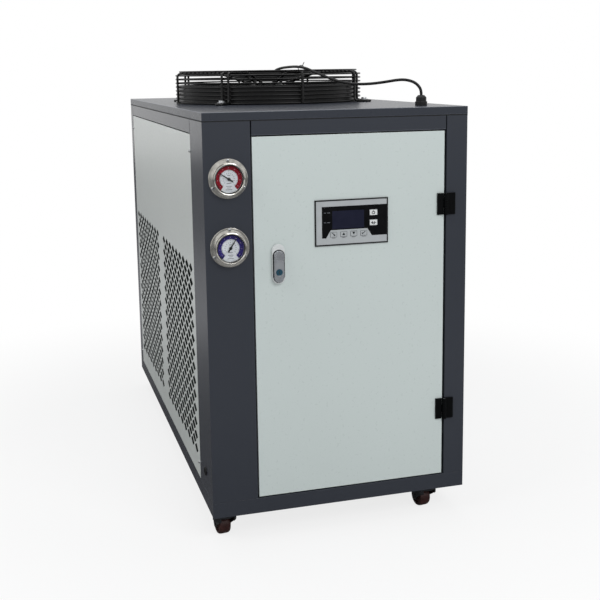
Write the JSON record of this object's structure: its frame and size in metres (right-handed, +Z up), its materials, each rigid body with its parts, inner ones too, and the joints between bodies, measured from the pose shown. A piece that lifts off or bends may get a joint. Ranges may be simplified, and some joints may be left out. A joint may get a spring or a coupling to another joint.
{
  "type": "air-cooled chiller",
  "caption": "Box-shaped air-cooled water chiller on casters, with a hinged front door, pressure gauges, a controller and a guarded fan on top.",
  "frame": {"origin": "on the floor under the middle of the whole unit", "axes": "+Z up, front with the door towards -Y, +X to the right seen from the front"},
  "size_m": [0.6114, 1.276, 1.0581],
  "materials": {
    "frame_paint": "satin slate powder coat",
    "panel_paint": "satin pale grey powder coat",
    "zinc": "bright zinc plate",
    "foam": "matt sound-deadening foam",
    "black_wire": "semi-gloss black",
    "black_plastic": "moulded black",
    "hinge_black": "satin black",
    "lock_metal": "satin chrome",
    "plug_dark": "dark blue",
    "overlay": "printed membrane, silver and black",
    "display": "dark display window",
    "gauge_steel": "polished stainless",
    "dial": "printed white",
    "clear_glass": "clear",
    "pointer": "matt black",
    "black_rubber": "matt",
    "wheel_rubber": "dark maroon",
    "coil": "finned",
    "compressor_paint": "gloss black",
    "stainless": "brushed stainless",
    "pump_paint": "blue enamel",
    "board_paint": "satin cream",
    "electrical": "moulded grey",
    "copper": "drawn copper",
    "pipe_grey": "grey pipe",
    "brass_fitting": "turned",
    "fan_paint": "semi-gloss black",
    "motor": "cast, painted black"
  },
  "bodies": {
    "root": {"base_frame": "frame_paint", "front_left_column": "frame_paint", "front_right_post": "frame_paint", "rear_left_post": "frame_paint", "rear_right_post": "frame_paint", "front_top_rail": "frame_paint", "left_top_rail": "frame_paint", "right_top_rail": "frame_paint", "rear_top_rail": "frame_paint", "lid": "frame_paint", "left_panel": "panel_paint", "right_panel": "panel_paint", "rear_panel": "panel_paint", "floor_pan": "zinc", "cover_screws": "zinc", "power_grommet": "black_rubber", "frame_hinge_leaves": "hinge_black", "hinge_pins": "zinc", "gauge_cases": "gauge_steel", "gauge_dials": "dial", "gauge_glasses": "clear_glass", "fan_shroud": "black_wire", "fan_guard": "black_wire", "guard_bolts": "zinc", "fan_motor": "motor", "cable_gland": "black_plastic", "fan_lead": "black_rubber", "caster_plates": "zinc", "condenser_coil": "coil", "compressor": "compressor_paint", "compressor_feet": "black_rubber", "water_tank": "stainless", "water_pump": "pump_paint", "electrical_board": "board_paint", "electrical_parts": "electrical", "refrigerant_pipes": "copper", "water_pipes": "pipe_grey", "water_ports": "brass_fitting"},
    "door": {"door_skin": "panel_paint", "door_liner": "foam", "door_hinge_leaves": "hinge_black", "lock_housing": "lock_metal", "controller_case": "black_plastic", "controller_overlay": "overlay", "display_window": "display"},
    "latch": {"lock_spindle": "lock_metal", "lock_cam": "zinc"},
    "handle": {"lock_handle": "lock_metal"},
    "key_plug": {"key_plug": "plug_dark"},
    "fan": {"fan_rotor": "fan_paint"},
    "red_pointer": {"red_pointer": "pointer"},
    "blue_pointer": {"blue_pointer": "pointer"},
    "swivel_front_left": {"caster_fork_front_left": "zinc"},
    "wheel_front_left": {"caster_wheel_front_left": "wheel_rubber"},
    "swivel_front_right": {"caster_fork_front_right": "zinc"},
    "wheel_front_right": {"caster_wheel_front_right": "wheel_rubber"},
    "swivel_rear_left": {"caster_fork_rear_left": "zinc"},
    "wheel_rear_left": {"caster_wheel_rear_left": "wheel_rubber"},
    "swivel_rear_right": {"caster_fork_rear_right": "zinc"},
    "wheel_rear_right": {"caster_wheel_rear_right": "wheel_rubber"}
  },
  "joints": [
    {"name": "door_hinge", "type": "hinge", "parent": "root", "child": "door", "pos_m": [0.25025, -0.6254, 0.502], "axis": [0, 0, 1], "range_deg": [0, 110]},
    {"name": "latch_turn", "type": "hinge", "parent": "door", "child": "latch", "pos_m": [-0.144, -0.62, 0.65], "axis": [0, 1, 0], "range_deg": [0, 90]},
    {"name": "handle_swing", "type": "hinge", "parent": "latch", "child": "handle", "pos_m": [-0.144, -0.6283, 0.662], "axis": [-1, 0, 0], "range_deg": [0, 45]},
    {"name": "key_turn", "type": "hinge", "parent": "handle", "child": "key_plug", "pos_m": [-0.144, -0.6283, 0.6144], "axis": [0, 1, 0], "range_deg": [0, 90]},
    {"name": "fan_spin", "type": "hinge", "parent": "root", "child": "fan", "pos_m": [0, -0.006, 0.988], "axis": [0, 0, 1], "continuous": true},
    {"name": "red_pointer_turn", "type": "hinge", "parent": "root", "child": "red_pointer", "pos_m": [-0.25, -0.63, 0.822], "axis": [0, 1, 0], "range_deg": [-78, 192]},
    {"name": "blue_pointer_turn", "type": "hinge", "parent": "root", "child": "blue_pointer", "pos_m": [-0.25, -0.63, 0.674], "axis": [0, 1, 0], "range_deg": [-168, 102]},
    {"name": "swivel_turn_front_left", "type": "hinge", "parent": "root", "child": "swivel_front_left", "pos_m": [-0.27, -0.58, 0.055], "axis": [0, 0, 1], "continuous": true},
    {"name": "wheel_turn_front_left", "type": "hinge", "parent": "swivel_front_left", "child": "wheel_front_left", "pos_m": [-0.27219, -0.56213, 0.025], "axis": [0.9925, 0.1219, 0], "continuous": true},
    {"name": "swivel_turn_front_right", "type": "hinge", "parent": "root", "child": "swivel_front_right", "pos_m": [0.222, -0.58, 0.055], "axis": [0, 0, 1], "continuous": true},
    {"name": "wheel_turn_front_right", "type": "hinge", "parent": "swivel_front_right", "child": "wheel_front_right", "pos_m": [0.21981, -0.56213, 0.025], "axis": [0.9925, 0.1219, 0], "continuous": true},
    {"name": "swivel_turn_rear_left", "type": "hinge", "parent": "root", "child": "swivel_rear_left", "pos_m": [-0.222, 0.548, 0.055], "axis": [0, 0, 1], "continuous": true},
    {"name": "wheel_turn_rear_left", "type": "hinge", "parent": "swivel_rear_left", "child": "wheel_rear_left", "pos_m": [-0.22419, 0.56587, 0.025], "axis": [0.9925, 0.1219, 0], "continuous": true},
    {"name": "swivel_turn_rear_right", "type": "hinge", "parent": "root", "child": "swivel_rear_right", "pos_m": [0.222, 0.548, 0.055], "axis": [0, 0, 1], "continuous": true},
    {"name": "wheel_turn_rear_right", "type": "hinge", "parent": "swivel_rear_right", "child": "wheel_rear_right", "pos_m": [0.21981, 0.56587, 0.025], "axis": [0.9925, 0.1219, 0], "continuous": true}
  ]
}
